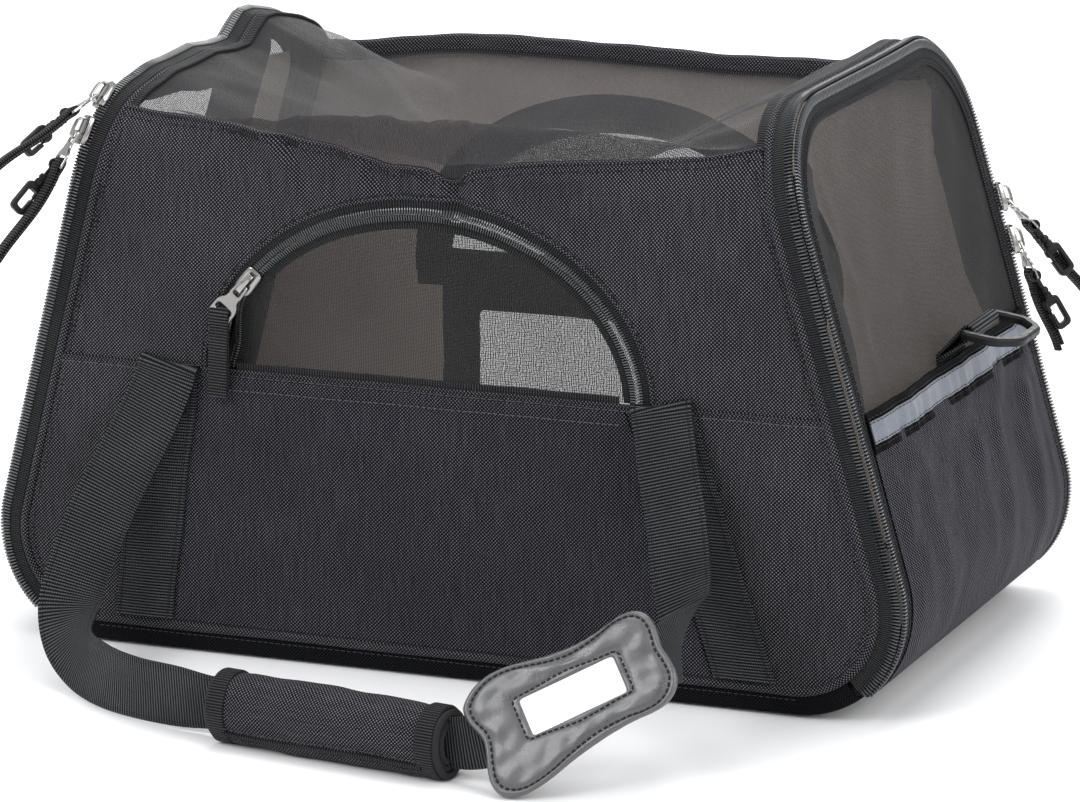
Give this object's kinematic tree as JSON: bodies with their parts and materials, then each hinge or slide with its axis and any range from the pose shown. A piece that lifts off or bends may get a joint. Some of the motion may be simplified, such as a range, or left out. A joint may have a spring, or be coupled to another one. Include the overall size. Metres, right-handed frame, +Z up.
{
  "type": "pet carrier bag",
  "caption": "Soft-sided pet carrier bag: fabric and mesh body on hooped ends, zip-open mesh doors, end pockets, webbing carry handles, padded grip and name tag.",
  "frame": {"origin": "centre of the base, on the ground plane", "axes": "+Z up, +X along the bag's length to the right end, -Y towards the front face with the arched door"},
  "size_m": [0.5306, 0.5323, 0.3006],
  "materials": {
    "oxford": "600D oxford weave",
    "webbing": "ribbed polypropylene webbing",
    "mesh": "fine knitted mesh",
    "zip": "nylon coil zip",
    "tape": "grosgrain binding",
    "reflective": "retroreflective tape",
    "black_plastic": "moulded acetal",
    "nickel": "nickel plated zinc",
    "spring_steel": "drawn wire",
    "leather": "glossy grained synthetic leather",
    "card": "blank white card",
    "clear": "clear film",
    "board": "stiff sheet",
    "fleece": "short-pile fleece"
  },
  "bodies": {
    "shell": {"front_panel": "oxford", "back_panel": "oxford", "back_mesh_windows": "mesh", "front_pocket": "oxford", "front_sewn_webbing": "webbing", "back_sewn_webbing": "webbing", "top_mesh_panel": "mesh", "hoop_piping": "oxford", "hoop_wires": "spring_steel", "shell_zip_halves": "zip", "base_panel": "oxford", "base_board": "board", "floor_pad": "fleece", "front_door_frame_zip": "zip"},
    "front_door": {"front_door_zip_half": "zip", "front_door_mesh": "mesh"},
    "front_slider": {"front_slider": "nickel"},
    "front_pull": {"front_pull_tab": "nickel", "front_webbing_pull": "webbing"},
    "front_handle": {"front_handle_webbing": "webbing", "front_grip_wrap": "oxford", "name_tag": "leather", "name_card": "card", "tag_window": "clear"},
    "back_handle": {"back_handle_webbing": "webbing"},
    "right_door": {"right_door_zip_half": "zip", "right_door_mesh": "mesh", "right_door_lower_panel": "oxford", "right_pocket": "oxford", "right_pocket_binding": "tape", "right_reflective_strip": "reflective", "right_ring_loop": "webbing"},
    "right_ring": {"right_d_ring": "black_plastic"},
    "right_upper_slider": {"right_upper_slider": "nickel"},
    "right_upper_pull": {"right_upper_pull_tab": "nickel", "right_upper_webbing_pull": "webbing"},
    "right_upper_clip": {"right_upper_snap_clip": "black_plastic"},
    "right_lower_slider": {"right_lower_slider": "nickel"},
    "right_lower_pull": {"right_lower_pull_tab": "nickel", "right_lower_webbing_pull": "webbing"},
    "right_lower_clip": {"right_lower_snap_clip": "black_plastic"},
    "left_door": {"left_door_zip_half": "zip", "left_door_mesh": "mesh", "left_door_lower_panel": "oxford", "left_pocket": "mesh", "left_pocket_binding": "tape", "left_reflective_strip": "reflective", "left_ring_loop": "webbing"},
    "left_ring": {"left_d_ring": "black_plastic"},
    "left_upper_slider": {"left_upper_slider": "nickel"},
    "left_upper_pull": {"left_upper_pull_tab": "nickel", "left_upper_webbing_pull": "webbing"},
    "left_upper_clip": {"left_upper_snap_clip": "black_plastic"},
    "left_lower_slider": {"left_lower_slider": "nickel"},
    "left_lower_pull": {"left_lower_pull_tab": "nickel", "left_lower_webbing_pull": "webbing"},
    "left_lower_clip": {"left_lower_snap_clip": "black_plastic"}
  },
  "joints": [
    {"name": "front_door_hinge", "type": "hinge", "parent": "shell", "child": "front_door", "pos_m": [-0.003, -0.1304, 0.1505], "axis": [1, 0, 0], "range_deg": [0, 112]},
    {"name": "front_slider_travel", "type": "hinge", "parent": "front_door", "child": "front_slider", "pos_m": [-0.02918, -0.127, 0.13973], "axis": [0, -1, 0], "range_deg": [-30, 20]},
    {"name": "front_pull_swing", "type": "hinge", "parent": "front_slider", "child": "front_pull", "pos_m": [-0.09963, -0.1327, 0.1947], "axis": [-0.7673, 0, 0.6412], "range_deg": [-2, 114]},
    {"name": "front_handle_swing", "type": "hinge", "parent": "shell", "child": "front_handle", "pos_m": [0, -0.131, 0.153], "axis": [-1, 0, 0], "range_deg": [0, 110]},
    {"name": "back_handle_swing", "type": "hinge", "parent": "shell", "child": "back_handle", "pos_m": [0, 0.131, 0.153], "axis": [1, 0, 0], "range_deg": [0, 110]},
    {"name": "right_door_hinge", "type": "hinge", "parent": "shell", "child": "right_door", "pos_m": [0.2256, 0, 0.0123], "axis": [0, 1, 0], "range_deg": [0, 80]},
    {"name": "right_ring_tilt", "type": "hinge", "parent": "right_door", "child": "right_ring", "pos_m": [0.23725, 0.008, 0.16919], "axis": [0, 1, 0], "range_deg": [-95, 58]},
    {"name": "right_upper_slider_travel", "type": "slide", "parent": "right_door", "child": "right_upper_slider", "axis": [-0.2643, 0, 0.9645], "range_m": [0, 0.028]},
    {"name": "right_upper_pull_swing", "type": "hinge", "parent": "right_upper_slider", "child": "right_upper_pull", "pos_m": [0.2099, 0.13078, 0.20408], "axis": [0.682, -0.7071, 0.1869], "range_deg": [-8, 75]},
    {"name": "right_upper_clip_swing", "type": "hinge", "parent": "right_upper_pull", "child": "right_upper_clip", "pos_m": [0.22049, 0.13735, 0.19028], "axis": [0.682, -0.7071, 0.1869], "range_deg": [-10, 35]},
    {"name": "right_lower_slider_travel", "type": "slide", "parent": "right_door", "child": "right_lower_slider", "axis": [-0.2643, 0, 0.9645], "range_m": [-0.1, 0]},
    {"name": "right_lower_pull_swing", "type": "hinge", "parent": "right_lower_slider", "child": "right_lower_pull", "pos_m": [0.21592, 0.13078, 0.18208], "axis": [0.682, -0.7071, 0.1869], "range_deg": [-4, 10]},
    {"name": "right_lower_clip_swing", "type": "hinge", "parent": "right_lower_pull", "child": "right_lower_clip", "pos_m": [0.22256, 0.13261, 0.1648], "axis": [0.682, -0.7071, 0.1869], "range_deg": [-10, 8]},
    {"name": "left_door_hinge", "type": "hinge", "parent": "shell", "child": "left_door", "pos_m": [-0.2256, 0, 0.0123], "axis": [0, -1, 0], "range_deg": [0, 80]},
    {"name": "left_ring_tilt", "type": "hinge", "parent": "left_door", "child": "left_ring", "pos_m": [-0.23725, 0.008, 0.16919], "axis": [0, -1, 0], "range_deg": [-95, 58]},
    {"name": "left_upper_slider_travel", "type": "hinge", "parent": "left_door", "child": "left_upper_slider", "pos_m": [-0.19615, -0.0671, 0.24033], "axis": [-0.9645, 0, 0.2643], "range_deg": [0, 32]},
    {"name": "left_upper_pull_swing", "type": "hinge", "parent": "left_upper_slider", "child": "left_upper_pull", "pos_m": [-0.18772, -0.11194, 0.28501], "axis": [-0.8209, 0.4731, -0.3199], "range_deg": [-8, 75]},
    {"name": "left_upper_clip_swing", "type": "hinge", "parent": "left_upper_pull", "child": "left_upper_clip", "pos_m": [-0.19455, -0.12805, 0.27871], "axis": [-0.8209, 0.4731, -0.3199], "range_deg": [-10, 35]},
    {"name": "left_lower_slider_travel", "type": "hinge", "parent": "left_door", "child": "left_lower_slider", "pos_m": [-0.19615, -0.0671, 0.24033], "axis": [-0.9645, 0, 0.2643], "range_deg": [-21, 0]},
    {"name": "left_lower_pull_swing", "type": "hinge", "parent": "left_lower_slider", "child": "left_lower_pull", "pos_m": [-0.19303, -0.12565, 0.26563], "axis": [-0.7639, 0.6355, -0.1121], "range_deg": [-4, 14]},
    {"name": "left_lower_clip_swing", "type": "hinge", "parent": "left_lower_pull", "child": "left_lower_clip", "pos_m": [-0.19896, -0.13537, 0.25092], "axis": [-0.7639, 0.6355, -0.1121], "range_deg": [-10, 8]}
  ],
  "couplings": [
    {"joint": "front_pull_swing", "follows": "front_door_hinge", "ratio": 1}
  ]
}
